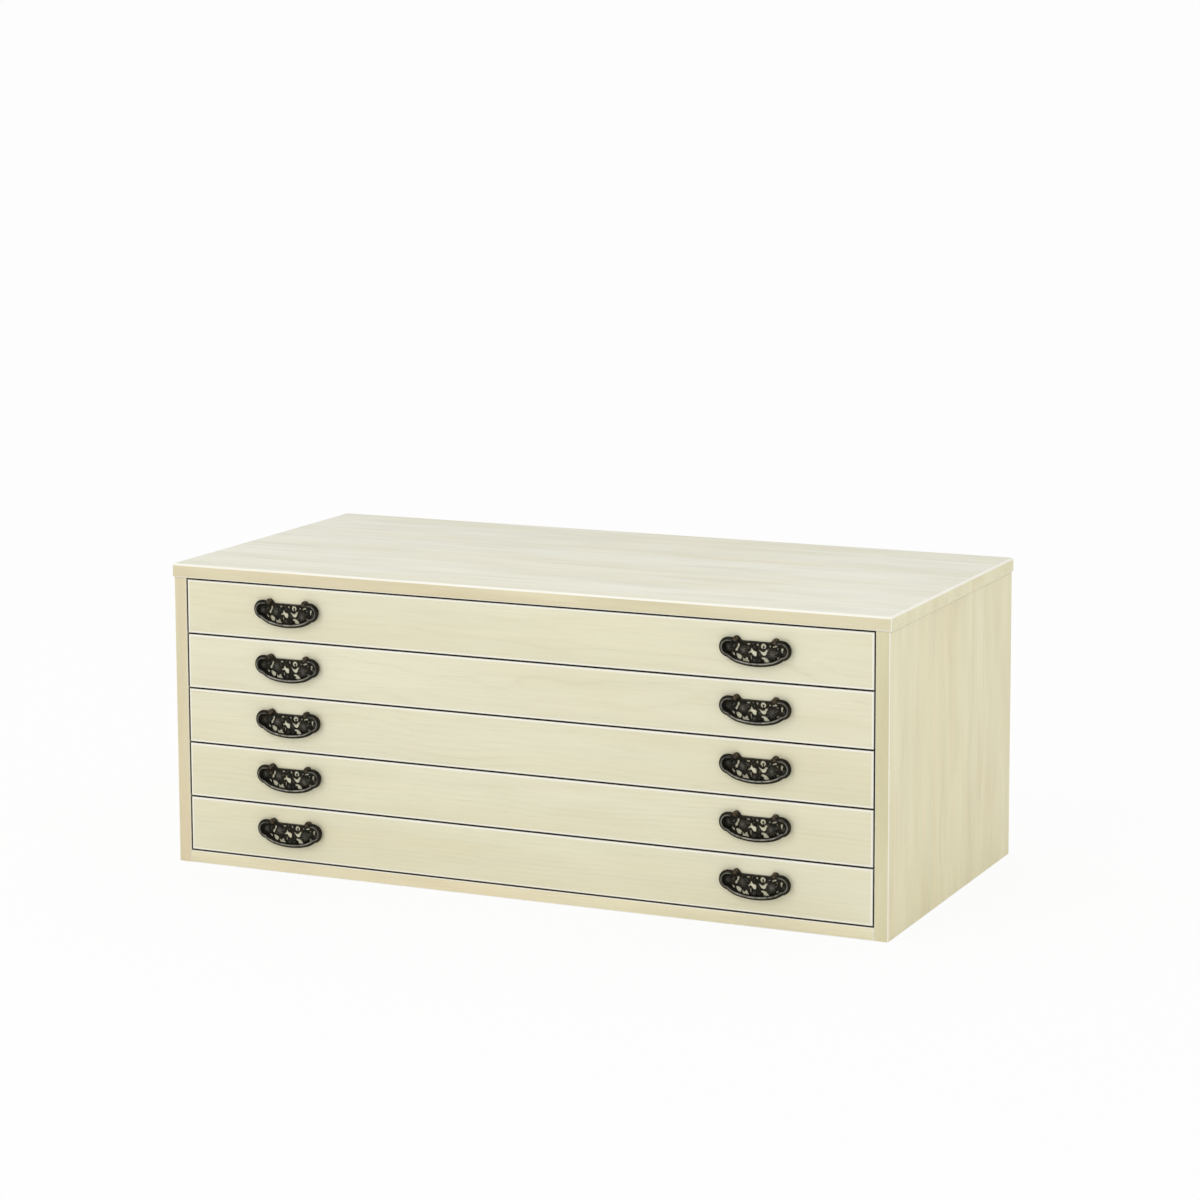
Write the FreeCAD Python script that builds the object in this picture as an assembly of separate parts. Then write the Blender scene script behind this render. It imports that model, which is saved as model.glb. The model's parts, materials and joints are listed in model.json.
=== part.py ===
import FreeCAD
import Part
import math
import os

# A low East Asian clothing chest in paulownia, for kimono laid flat.
# The carcass is a top board on two side panels, with a thin back, two bottom rails and a bottom board.
# Five shallow drawers hang on wooden runners by grooves in their sides, with no rails between their fronts.
# Each drawer has two iron pulls: a pierced plate, a swinging bail and two split pins that hold both.
# Millimetres. +X is right, +Z up, and the drawers face -Y.
# The origin is on the floor, below the middle of the whole chest with its pulls.

os.makedirs("parts", exist_ok=True)
Vector = FreeCAD.Vector

# Carcass, over all
width = 1000.0
depth = 475.0
height = 400.0
top_thickness = 18.0
top_side_overhang = 2.0
top_front_overhang = 1.0
top_edge_break = 1.6
panel_thickness = 18.0
panel_edge_break = 0.6

# Housings that join the carcass
top_housing_depth = 5.0
top_housing_setback = 24.0
back_thickness = 6.0
back_rebate_width = 9.0
back_foot_gap = 4.0
rail_height = 16.0
rail_width = 45.0
tenon_length = 9.0
tenon_thickness = 8.0
tenon_shoulder = 7.0
bottom_thickness = 6.0
bottom_height = 5.0
bottom_groove_depth = 5.0

# Drawers
drawer_count = 5
front_gap = 2.0
front_thickness = 18.0
front_edge_break = 1.0
lap_cover = 6.0
box_side_gap = 2.5
box_lift = 2.0
box_top_gap = 2.8
box_rear_gap = 12.0
wall_thickness = 13.0
tail_thickness = 12.0
tail_finger_count = 3
floor_thickness = 5.0
floor_lift = 6.0
floor_groove_depth = 5.5
floor_slack = 0.2

# Runners
runner_height = 12.0
runner_bite = 6.0
runner_housing = 4.0
runner_gap = 0.3
runner_groove_slack = 0.8
runner_nose = 3.0

# Pulls, drawn with z from their own middle line, which lies pull_drop below the drawer front's, and y from
# the drawer front, negative out of it. The grip's arc rises by grip_rise from the foot to grip_share of half
# the width. The notch's angle is taken about the lobe's middle, from +X.
pull_offset = 326.5
pull_drop = 1.7
pull_width = 95.0
lobe_radius = 12.7
lobe_height = 6.5
grip_drop = 15.8
grip_rise = 2.6
grip_share = 0.467
notch_angle = -80.0
bar_width = 5.5
bar_thickness = 4.5
bar_bevel = 1.2
bail_standoff = 5.0
pivot_radius = 1.5
pivot_length = 5.4
pivot_root = 0.5
pivot_clearance = 0.08
post_inset = 8.8
post_width = 6.6
post_radius = 4.8
post_neck = 5.6
post_gap = 0.3
ear_radius = 4.4
plate_thickness = 1.6
plate_margin = 2.6
plate_rise = 15.0
leg_thickness = 1.2
leg_width = 4.0
leg_slack = 0.1
clinch_length = 10.0

# The ten pulls' small curves are drawn as a few chords each.
grip_chords = 2
shoulder_chords = 3
lobe_chords = 8
ear_sides = 8
eye_sides = 8
nose_chords = 6
crescent_chords = 6
lens_chords = 3

# Openings of the pierced plate. Each is a lens between two arcs. Its middle is given as a share of half the
# pull's width across and of plate_rise up, its length and breadth as shares of half the pull's width, and its
# slant in degrees.
lens_shares = [
    (-0.53, 0.38, 0.20, 0.060, 66.0),
    (-0.66, -0.158, 0.11, 0.055, -48.0),
    (-0.385, -0.459, 0.36, 0.085, -24.0),
    (-0.23, 0.776, 0.15, 0.045, 8.0),
    (-0.095, 0.095, 0.22, 0.110, -58.0),
    (0.015, 0.728, 0.07, 0.050, 20.0),
    (0.245, -0.523, 0.25, 0.085, 19.0),
    (0.495, 0.681, 0.16, 0.045, -8.0),
    (0.695, 0.38, 0.14, 0.055, 88.0),
    (0.62, -0.237, 0.13, 0.050, 44.0),
]
# The eye of the scroll beside the middle, and the crescent below it, given in the same way.
scroll_share = (0.175, 0.649, 0.052)
crescent_shares = (0.195, 0.333, 0.125, 0.065)

cut_overrun = 1.0
touch_tolerance = 0.02

# Places that follow from the sizes above
half_width = width / 2
axis_height = lobe_height + lobe_radius - bar_width / 2
axis_y = -(bail_standoff + bar_thickness / 2)
pull_projection = post_radius - axis_y - top_front_overhang
back_y = (depth + pull_projection) / 2
top_front_y = back_y - depth
front_y = top_front_y + top_front_overhang
panel_outer = half_width - top_side_overhang
panel_inner = panel_outer - panel_thickness
panel_top = height - top_thickness
back_face_y = back_y - back_thickness
front_height = (panel_top - rail_height - front_gap * (drawer_count + 1)) / drawer_count
drawer_pitch = front_height + front_gap
box_height = front_height - box_lift - box_top_gap
front_half = panel_inner - front_gap
box_half = panel_inner - box_side_gap
wall_inner = box_half - wall_thickness
box_rear_y = back_face_y - box_rear_gap
tail_front_y = box_rear_y - tail_thickness
floor_top = floor_lift + floor_thickness
tail_height = box_height - floor_top
runner_front_y = front_y + front_thickness + runner_gap
runner_reach = box_side_gap + runner_bite
lobe_x = pull_width / 2 - lobe_radius
post_x = lobe_x - post_inset
bail_end_x = post_x + post_width / 2 + post_gap


def box(x, y, z):
    """A block between the two limits given on each axis."""
    low = Vector(min(x), min(y), min(z))
    high = Vector(max(x), max(y), max(z))
    size = high - low
    return Part.makeBox(size.x, size.y, size.z, low)


def mirrored(low, high, side):
    """The limits low and high on the right for side 1, and their mirror on the left for side -1."""
    return (side * low, side * high)


def chamfer_where(shape, size, wanted):
    """Chamfers each straight edge whose middle passes the test."""
    edges = [edge for edge in shape.Edges if wanted(edge.CenterOfMass)]
    return shape.makeChamfer(size, edges)


def save(name, solids):
    """Writes one sub-part of one or more separate solids."""
    shape = solids[0] if len(solids) == 1 else Part.makeCompound(solids)
    shape.exportStep(os.path.join("parts", name + ".step"))


def close_to(a, b):
    return abs(a - b) < touch_tolerance


# Carcass


def top_board():
    board = box((-half_width, half_width), (top_front_y, back_y), (panel_top, height))
    board = chamfer_where(board, top_edge_break, lambda p: close_to(p.z, height) and not close_to(p.y, back_y))
    housing_top = panel_top + top_housing_depth
    housing_front = front_y + top_housing_setback
    housing_z = (panel_top - cut_overrun, housing_top)
    for side in (-1, 1):
        panel_x = mirrored(panel_inner, panel_outer, side)
        board = board.cut(box(panel_x, (housing_front, back_y + cut_overrun), housing_z))
    back_half = panel_inner + back_rebate_width
    return board.cut(box((-back_half, back_half), (back_face_y, back_y + cut_overrun), housing_z))


def side_panel(side):
    """A side, with a tongue into the top board and housings for the back, runners, rails and bottom board."""
    tongue_top = panel_top + top_housing_depth
    panel = box(mirrored(panel_inner, panel_outer, side), (front_y, back_y), (0, tongue_top))
    outer_x = side * panel_outer
    panel = chamfer_where(
        panel, panel_edge_break, lambda p: close_to(p.x, outer_x) and close_to(p.z, tongue_top / 2)
    )
    past_panel_x = mirrored(panel_inner - cut_overrun, panel_outer + cut_overrun, side)
    setback_y = (front_y - cut_overrun, front_y + top_housing_setback)
    panel = panel.cut(box(past_panel_x, setback_y, (panel_top, tongue_top + cut_overrun)))
    rebate_x = mirrored(panel_inner - cut_overrun, panel_inner + back_rebate_width, side)
    panel = panel.cut(box(rebate_x, (back_face_y, back_y + cut_overrun), (-cut_overrun, height)))
    runner_x = mirrored(panel_inner - cut_overrun, panel_inner + runner_housing, side)
    for level in range(1, drawer_count + 1):
        panel = panel.cut(box(runner_x, (runner_front_y, back_face_y), runner_z(level)))
    tenon_x = mirrored(panel_inner - cut_overrun, panel_inner + tenon_length, side)
    for rail_y in rail_places():
        panel = panel.cut(box(tenon_x, tenon_limits_y(rail_y), tenon_z()))
    groove_x = mirrored(panel_inner - cut_overrun, panel_inner + bottom_groove_depth, side)
    front_rail_y, rear_rail_y = rail_places()
    return panel.cut(box(groove_x, (front_rail_y[1], rear_rail_y[0]), bottom_z()))


def rail_places():
    """The y limits of the front and rear bottom rails."""
    return ((front_y, front_y + rail_width), (back_face_y - rail_width, back_face_y))


def tenon_limits_y(rail_y):
    return (rail_y[0] + tenon_shoulder, rail_y[1] - tenon_shoulder)


def tenon_z():
    low = (rail_height - tenon_thickness) / 2
    return (low, low + tenon_thickness)


def bottom_z():
    return (bottom_height, bottom_height + bottom_thickness)


def bottom_rail(rail_y, groove_y):
    """A rail between the panels, with a stub tenon at each end and a groove for the bottom board."""
    rail = box((-panel_inner, panel_inner), rail_y, (0, rail_height))
    tenon_end = panel_inner + tenon_length
    rail = rail.fuse(box((-tenon_end, tenon_end), tenon_limits_y(rail_y), tenon_z()))
    return rail.cut(box((-tenon_end, tenon_end), groove_y, bottom_z())).removeSplitter()


def bottom_front_rail():
    rail_y = rail_places()[0]
    return bottom_rail(rail_y, (rail_y[1] - bottom_groove_depth, rail_y[1] + cut_overrun))


def bottom_rear_rail():
    rail_y = rail_places()[1]
    return bottom_rail(rail_y, (rail_y[0] - cut_overrun, rail_y[0] + bottom_groove_depth))


def bottom_board():
    front_rail_y, rear_rail_y = rail_places()
    board = box(
        (-panel_inner, panel_inner),
        (front_rail_y[1] - bottom_groove_depth, rear_rail_y[0] + bottom_groove_depth),
        bottom_z(),
    )
    tongue = panel_inner + bottom_groove_depth
    return board.fuse(box((-tongue, tongue), (front_rail_y[1], rear_rail_y[0]), bottom_z())).removeSplitter()


def back_panel():
    half = panel_inner + back_rebate_width
    return box((-half, half), (back_face_y, back_y), (back_foot_gap, panel_top + top_housing_depth))


def front_low(level):
    """The height of a drawer front's lower edge. Level 1 is the top drawer."""
    return rail_height + front_gap + (drawer_count - level) * drawer_pitch


def box_low(level):
    return front_low(level) + box_lift


def runner_z(level):
    """A runner's height limits, about the middle of the drawer's rear board."""
    middle = box_low(level) + floor_top + tail_height / 2
    return (middle - runner_height / 2, middle + runner_height / 2)


def runner_pair(level):
    runners = []
    for side in (-1, 1):
        runner_x = mirrored(panel_inner - runner_reach, panel_inner + runner_housing, side)
        runner = box(runner_x, (runner_front_y, back_face_y), runner_z(level))
        inner_x = side * (panel_inner - runner_reach)
        runner = chamfer_where(
            runner, runner_nose, lambda p: close_to(p.x, inner_x) and close_to(p.y, runner_front_y)
        )
        runners.append(runner)
    return runners


# Drawers


def floor_groove_z(level):
    low = box_low(level) + floor_lift
    return (low, low + floor_thickness + floor_slack)


def drawer_front(level):
    """A front lapped over the drawer's sides, grooved for its floor and slotted for the pulls' legs."""
    low = front_low(level)
    rear_y = front_y + front_thickness
    board = box((-front_half, front_half), (front_y, rear_y), (low, low + front_height))
    board = chamfer_where(board, front_edge_break, lambda p: close_to(p.y, front_y))
    lap_y = (front_y + lap_cover, rear_y + cut_overrun)
    lap_z = (low - cut_overrun, low + front_height + cut_overrun)
    for side in (-1, 1):
        board = board.cut(box(mirrored(wall_inner, front_half + cut_overrun, side), lap_y, lap_z))
    groove_y = (rear_y - floor_groove_depth, rear_y + cut_overrun)
    board = board.cut(box((-wall_inner, wall_inner), groove_y, floor_groove_z(level)))
    slot_x, slot_z = leg_slot()
    slot_y = (front_y - cut_overrun, rear_y + cut_overrun)
    middle_z = pull_middle_z(level)
    for x in post_places():
        leg_x = (x + slot_x[0], x + slot_x[1])
        board = board.cut(box(leg_x, slot_y, (middle_z + slot_z[0], middle_z + slot_z[1])))
    return board


def drawer_wall(level, side):
    """A side of the drawer: lapped behind the front, grooved for the runner and floor, fingered at the rear."""
    low = box_low(level)
    past_rear_y = box_rear_y + cut_overrun
    past_wall_x = mirrored(wall_inner - cut_overrun, box_half + cut_overrun, side)
    wall = box(mirrored(wall_inner, box_half, side), (front_y + lap_cover, box_rear_y), (low, low + box_height))
    groove_x = mirrored(box_half - runner_bite - runner_groove_slack, box_half + cut_overrun, side)
    low_edge, high_edge = runner_z(level)
    groove_z = (low_edge - runner_gap, high_edge + runner_gap)
    wall = wall.cut(box(groove_x, (front_y + front_thickness, past_rear_y), groove_z))
    floor_x = mirrored(wall_inner - cut_overrun, wall_inner + floor_groove_depth, side)
    wall = wall.cut(box(floor_x, (front_y, past_rear_y), floor_groove_z(level)))
    for finger_z in tail_fingers(level):
        wall = wall.cut(box(past_wall_x, (tail_front_y, past_rear_y), finger_z))
    return wall


def tail_fingers(level):
    """The heights at which the rear board runs through the sides: every other step, from the lowest."""
    low = box_low(level) + floor_top + floor_slack
    step = (tail_height - floor_slack) / tail_finger_count
    return [(low + step * i, low + step * (i + 1)) for i in range(0, tail_finger_count, 2)]


def drawer_tail(level):
    """The drawer's rear board, which stands on the floor board."""
    low = box_low(level)
    rear_y = (tail_front_y, box_rear_y)
    tail = box((-wall_inner, wall_inner), rear_y, (low + floor_top + floor_slack, low + box_height))
    for finger_z in tail_fingers(level):
        tail = tail.fuse(box((-box_half, box_half), rear_y, finger_z))
    return tail.removeSplitter()


def drawer_floor(level):
    """The drawer's floor board, slid in from the rear, with a tongue into the front."""
    low = floor_groove_z(level)[0]
    floor_z = (low, low + floor_thickness)
    half = wall_inner + floor_groove_depth
    front_edge = front_y + front_thickness
    floor = box((-half, half), (front_edge, box_rear_y), floor_z)
    tongue = box((-wall_inner, wall_inner), (front_edge - floor_groove_depth, front_edge), floor_z)
    return floor.fuse(tongue).removeSplitter()


# Pulls


def post_places():
    """The x of every post on a drawer front."""
    return [middle + side * post_x for middle in (-pull_offset, pull_offset) for side in (-1, 1)]


def leg_slot():
    """The limits of the slot for a split pin's legs, from the pull's middle line and the pin's own place."""
    half = leg_width / 2 + leg_slack
    reach = leg_thickness + leg_slack
    return (-half, half), (axis_height - reach, axis_height + reach)


def pull_middle_z(level):
    return front_low(level) + front_height / 2 - pull_drop


def placed(shape, level, middle):
    """Moves a shape drawn about a pull's own middle to its place on a drawer front."""
    moved = shape.copy()
    moved.translate(Vector(middle, front_y, pull_middle_z(level)))
    return moved


def bearing(centre, point):
    """The direction from centre to point, in degrees from +X towards +Z."""
    return math.degrees(math.atan2(point.z - centre.z, point.x - centre.x))


def arc_radius(start, inwards, end):
    """The radius of an arc from start to end whose centre lies straight inwards from start."""
    chord = end - start
    return chord.dot(chord) / (2 * chord.dot(inwards))


def arc_points(centre, radius, start, end, chords):
    """The corners of an arc drawn as chords, between two angles in degrees from +X towards +Z."""
    angles = [math.radians(start + (end - start) * i / chords) for i in range(chords + 1)]
    return [centre + Vector(math.cos(angle), 0, math.sin(angle)) * radius for angle in angles]


def circle_points(centre, radius, chords):
    return arc_points(centre, radius, 0, 360, chords)[:-1]


def lobed_half(inset):
    """The right half of the pull's lobed outline, moved in by inset: its corners from foot to top.

    The grip's arc runs on into the shoulder's, which ends in the notch on the lobe's circle.
    """
    foot = Vector(0, 0, -grip_drop)
    grip_end = foot + Vector(grip_share * pull_width / 2, 0, grip_rise)
    grip_radius = arc_radius(foot, Vector(0, 0, 1), grip_end)
    grip_centre = foot + Vector(0, 0, grip_radius)
    grip_stop = bearing(grip_centre, grip_end)
    lobe_centre = Vector(lobe_x, 0, lobe_height)
    notch = arc_points(lobe_centre, lobe_radius, notch_angle, 90, lobe_chords)[0]
    inwards = (grip_centre - grip_end).normalize()
    shoulder_radius = arc_radius(grip_end, inwards, notch)
    shoulder_centre = grip_end + inwards * shoulder_radius
    shoulder_stop = bearing(shoulder_centre, notch)
    grip = arc_points(grip_centre, grip_radius - inset, -90, grip_stop, grip_chords)
    shoulder = arc_points(shoulder_centre, shoulder_radius - inset, grip_stop, shoulder_stop, shoulder_chords)
    lobe = arc_points(lobe_centre, lobe_radius - inset, notch_angle, 90, lobe_chords)
    if inset == 0:
        lobe = lobe[1:]
    return grip + shoulder[1:] + lobe


def lobed_line(inset, end_x):
    """The whole lobed outline from its left end, round the foot, to its right end."""
    half = lobed_half(inset)
    half.append(Vector(end_x, 0, half[-1].z))
    left = [Vector(-point.x, 0, point.z) for point in reversed(half)]
    return left[:-1] + half


def plate_of(points, back_y, front_y):
    """A flat piece with this outline between two depths."""
    wire = Part.makePolygon(points + points[:1])
    wire.translate(Vector(0, back_y, 0))
    return Part.Face(wire).extrude(Vector(0, front_y - back_y, 0))


def across_pull(points, start_x, length):
    """A piece of this length along X, with its outline given as depths in x and heights in z."""
    corners = [Vector(start_x, point.x, point.z) for point in points]
    return Part.Face(Part.makePolygon(corners + corners[:1])).extrude(Vector(length, 0, 0))


def pull_bail():
    """The swinging bail: a flat bar on the lobed outline, bevelled in front, with a pivot at each end."""
    bar_front_y = -bail_standoff - bar_thickness
    points = lobed_line(0, bail_end_x) + lobed_line(bar_width, bail_end_x)[::-1]
    bail = plate_of(points, -bail_standoff, bar_front_y)
    bail = chamfer_where(bail, bar_bevel, lambda p: close_to(p.y, bar_front_y))
    pivot = circle_points(Vector(axis_y, 0, axis_height), pivot_radius, eye_sides)
    for side in (-1, 1):
        start_x = side * (bail_end_x + pivot_root)
        bail = bail.fuse(across_pull(pivot, start_x, -side * (pivot_length + pivot_root)))
    return bail


def through_plate(points):
    """A cutter through the plate with this outline."""
    return plate_of(points, cut_overrun, -plate_thickness - cut_overrun)


def lens(middle, length, breadth, slant):
    """A pointed opening between two bowed sides, each drawn as chords."""
    bulge = [math.sin(math.pi * i / lens_chords) * breadth / 2 for i in range(lens_chords)]
    run = [length * (i / lens_chords - 1 / 2) for i in range(lens_chords)]
    outline = list(zip(run, bulge)) + [(-a, -b) for a, b in zip(run, bulge)]
    cos, sin = math.cos(slant), math.sin(slant)
    return through_plate([middle + Vector(a * cos - b * sin, 0, a * sin + b * cos) for a, b in outline])


def crescent(middle, radius, breadth):
    """A crescent with its horns up."""
    outer = arc_points(middle, radius, 180, 360, crescent_chords)
    flatness = (radius - breadth) / radius
    inner = [Vector(p.x, 0, middle.z + (p.z - middle.z) * flatness) for p in outer[1:-1]]
    return through_plate(outer + inner[::-1])


def pull_plate():
    """The pierced plate behind the bail, with an ear round each post."""
    plate = plate_of(lobed_line(plate_margin, 0), 0, -plate_thickness)
    past_plate_y = (cut_overrun, -plate_thickness - cut_overrun)
    plate = plate.cut(box((-pull_width, pull_width), past_plate_y, (plate_rise, lobe_height + lobe_radius)))
    slot_x, slot_z = leg_slot()
    unit = pull_width / 2
    for x in (-post_x, post_x):
        ear = circle_points(Vector(x, 0, axis_height), ear_radius, ear_sides)
        plate = plate.fuse(plate_of(ear, 0, -plate_thickness))
    plate = plate.removeSplitter()
    for x in (-post_x, post_x):
        plate = plate.cut(box((x + slot_x[0], x + slot_x[1]), past_plate_y, slot_z))
    for x, z, length, breadth, slant in lens_shares:
        middle = Vector(x * unit, 0, z * plate_rise)
        plate = plate.cut(lens(middle, length * unit, breadth * unit, math.radians(slant)))
    x, z, radius = scroll_share
    scroll = circle_points(Vector(x * unit, 0, z * plate_rise), radius * unit, ear_sides)
    plate = plate.cut(through_plate(scroll))
    x, z, radius, breadth = crescent_shares
    return plate.cut(crescent(Vector(x * unit, 0, z * plate_rise), radius * unit, breadth * unit))


def split_pin():
    """A post: a round-nosed eye that carries the bail, on legs through the front that are clinched apart."""
    left_x = -post_width / 2
    axis = Vector(axis_y, 0, axis_height)
    feet = [Vector(-plate_thickness, 0, axis_height + side * post_neck / 2) for side in (1, -1)]
    profile = arc_points(axis, post_radius, 270, 90, nose_chords) + feet
    eye_radius = (pivot_radius + pivot_clearance) / math.cos(math.pi / eye_sides)
    eye = across_pull(profile, left_x, post_width)
    bore = circle_points(axis, eye_radius, eye_sides)
    eye = eye.cut(across_pull(bore, left_x - cut_overrun, post_width + 2 * cut_overrun))
    leg_x = (-leg_width / 2, leg_width / 2)
    leg_z = (axis_height - leg_thickness, axis_height + leg_thickness)
    legs = box(leg_x, (-plate_thickness, front_thickness), leg_z)
    clinch_y = (front_thickness, front_thickness + leg_thickness)
    clinch = box(leg_x, clinch_y, (axis_height - clinch_length, axis_height + clinch_length))
    return eye.fuse(legs).fuse(clinch).removeSplitter()


def build():
    save("top_board", [top_board()])
    save("left_side_panel", [side_panel(-1)])
    save("right_side_panel", [side_panel(1)])
    save("back_panel", [back_panel()])
    save("bottom_front_rail", [bottom_front_rail()])
    save("bottom_rear_rail", [bottom_rear_rail()])
    save("bottom_board", [bottom_board()])
    bail = pull_bail()
    plate = pull_plate()
    pin = split_pin()
    for level in range(1, drawer_count + 1):
        save(f"runner_pair_{level}", runner_pair(level))
        save(f"drawer_front_{level}", [drawer_front(level)])
        save(f"drawer_left_side_{level}", [drawer_wall(level, -1)])
        save(f"drawer_right_side_{level}", [drawer_wall(level, 1)])
        save(f"drawer_rear_{level}", [drawer_tail(level)])
        save(f"drawer_floor_{level}", [drawer_floor(level)])
        save(f"pull_plates_{level}", [placed(plate, level, x) for x in (-pull_offset, pull_offset)])
        save(f"pull_split_pins_{level}", [placed(pin, level, x) for x in post_places()])
        save(f"left_bail_{level}", [placed(bail, level, -pull_offset)])
        save(f"right_bail_{level}", [placed(bail, level, pull_offset)])


build()
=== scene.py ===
import json
import math

import bpy
from mathutils import Euler, Matrix, Vector


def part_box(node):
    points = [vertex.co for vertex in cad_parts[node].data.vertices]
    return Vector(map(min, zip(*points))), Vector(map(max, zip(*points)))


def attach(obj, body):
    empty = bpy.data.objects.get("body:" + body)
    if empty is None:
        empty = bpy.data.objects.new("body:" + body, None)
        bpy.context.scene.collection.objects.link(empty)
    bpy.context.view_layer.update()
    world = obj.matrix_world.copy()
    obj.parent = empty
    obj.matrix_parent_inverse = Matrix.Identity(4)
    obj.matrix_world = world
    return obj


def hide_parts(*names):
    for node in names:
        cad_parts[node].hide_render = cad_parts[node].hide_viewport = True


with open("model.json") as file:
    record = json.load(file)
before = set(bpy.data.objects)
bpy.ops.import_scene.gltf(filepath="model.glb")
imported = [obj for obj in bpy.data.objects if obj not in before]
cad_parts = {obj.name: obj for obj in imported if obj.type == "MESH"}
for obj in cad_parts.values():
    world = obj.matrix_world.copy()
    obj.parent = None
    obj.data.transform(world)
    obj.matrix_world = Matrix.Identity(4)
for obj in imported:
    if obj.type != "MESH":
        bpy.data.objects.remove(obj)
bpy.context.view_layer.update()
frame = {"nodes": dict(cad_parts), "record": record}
mm = 0.001
bodyOf = {node: body for body, nodes in frame["record"]["behaviour"]["bodies"].items() for node in nodes}
levels = range(1, 6)
sides = ("left", "right")
# A face looks along an axis where that part of its normal is longer than this
facing = 0.9


# Small helpers for objects

def deselectAll():
    bpy.ops.object.select_all(action="DESELECT")


def makeActive(piece):
    deselectAll()
    piece.select_set(True)
    bpy.context.view_layer.objects.active = piece


def applyModifier(piece, kind, **settings):
    makeActive(piece)
    modifier = piece.modifiers.new(kind.lower(), kind)
    for name, value in settings.items():
        setattr(modifier, name, value)
    bpy.ops.object.modifier_apply(modifier=modifier.name)


# Selects the faces that a test picks, and nothing else, and stays in edit mode
def selectFaces(piece, picked):
    makeActive(piece)
    bpy.ops.object.mode_set(mode="EDIT")
    bpy.ops.mesh.select_mode(type="FACE")
    bpy.ops.mesh.select_all(action="DESELECT")
    bpy.ops.object.mode_set(mode="OBJECT")
    for face in piece.data.polygons:
        face.select = picked(face)
    bpy.ops.object.mode_set(mode="EDIT")


def joinPieces(pieces, name):
    deselectAll()
    for piece in pieces:
        piece.select_set(True)
    bpy.context.view_layer.objects.active = pieces[0]
    if len(pieces) > 1:
        bpy.ops.object.join()
    pieces[0].name = name
    return pieces[0]


# A copy with its own mesh, moved in its mesh
def copyPiece(piece, name, move=(0, 0, 0)):
    copy = bpy.data.objects.new(name, piece.data.copy())
    bpy.context.scene.collection.objects.link(copy)
    copy.data.transform(Matrix.Translation(Vector(move)))
    return copy


def removePiece(piece):
    bpy.data.objects.remove(piece, do_unlink=True)


# Gives a piece its materials, in the order of its slots
def dress(piece, *materials):
    piece.data.materials.clear()
    for material in materials:
        piece.data.materials.append(material)


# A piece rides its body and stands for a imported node
def standFor(piece, node, body):
    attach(piece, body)
    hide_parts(node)


# Parts that run into each other become one smooth skin
def fuse(piece, settings):
    applyModifier(piece, "REMESH", mode="VOXEL", voxel_size=settings["voxel"])
    applyModifier(piece, "SMOOTH", iterations=settings["smoothings"])


# Shader maths: a wire is one output socket, and an expression on wires adds its Math nodes

class Wire:
    def __init__(self, tree, socket=None):
        self.tree = tree
        self.socket = socket

    def node(self, kind, settings=None, inputs=None, output=0):
        node = self.tree.nodes.new(kind)
        for name, value in (settings or {}).items():
            setattr(node, name, value)
        for key, value in (inputs or {}).items():
            if isinstance(value, Wire):
                self.tree.links.new(value.socket, node.inputs[key])
            else:
                node.inputs[key].default_value = value
        return Wire(self.tree, node.outputs[output])

    def maths(self, operation, *values):
        return self.node("ShaderNodeMath", {"operation": operation}, dict(enumerate(values)))

    def __add__(self, other):
        return self.maths("ADD", self, other)

    def __radd__(self, other):
        return self.maths("ADD", other, self)

    def __sub__(self, other):
        return self.maths("SUBTRACT", self, other)

    def __rsub__(self, other):
        return self.maths("SUBTRACT", other, self)

    def __mul__(self, other):
        return self.maths("MULTIPLY", self, other)

    def __rmul__(self, other):
        return self.maths("MULTIPLY", other, self)

    def __truediv__(self, other):
        return self.maths("DIVIDE", self, other)

    def __rtruediv__(self, other):
        return self.maths("DIVIDE", other, self)

    def __pow__(self, other):
        return self.maths("POWER", self, other)

    def __rpow__(self, other):
        return self.maths("POWER", other, self)

    def floored(self):
        return self.maths("FLOOR", self)

    def fraction(self):
        return self.maths("FRACT", self)

    def clamped(self):
        return self.node("ShaderNodeClamp", None, {0: self})

    # The three parts of a vector
    def parts(self):
        first = self.node("ShaderNodeSeparateXYZ", None, {0: self})
        return [Wire(self.tree, socket) for socket in first.socket.node.outputs]

    def mixColour(self, first, second, blend="MIX"):
        settings = {"data_type": "RGBA", "blend_type": blend}
        return self.node("ShaderNodeMix", settings, {0: self, 6: first, 7: second}, 2)

    # Noise at this place
    def noise(self, scale=1.0, detail=3.0):
        return self.node("ShaderNodeTexNoise", None, {"Vector": self, "Scale": scale, "Detail": detail})

    # A share by chance for each whole number
    def chance(self):
        return self.node("ShaderNodeTexWhiteNoise", {"noise_dimensions": "1D"}, {"W": self})

    # A surface raised by this height
    def bump(self, strength, depth):
        return self.node("ShaderNodeBump", None, {"Strength": strength, "Distance": depth, "Height": self})


# A new material: its shader and a wire to start from
def startMaterial(name):
    material = bpy.data.materials.new(name)
    material.use_nodes = True
    shader = material.node_tree.nodes["Principled BSDF"]
    return material, shader, Wire(material.node_tree)


def plug(node, name, wire):
    wire.tree.links.new(wire.socket, node.inputs[name])


def opaque(colour):
    return (*colour, 1.0)


# Paulownia: growth rings about a pith, fine pores drawn out along the grain, and slow drifts of tint

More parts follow.
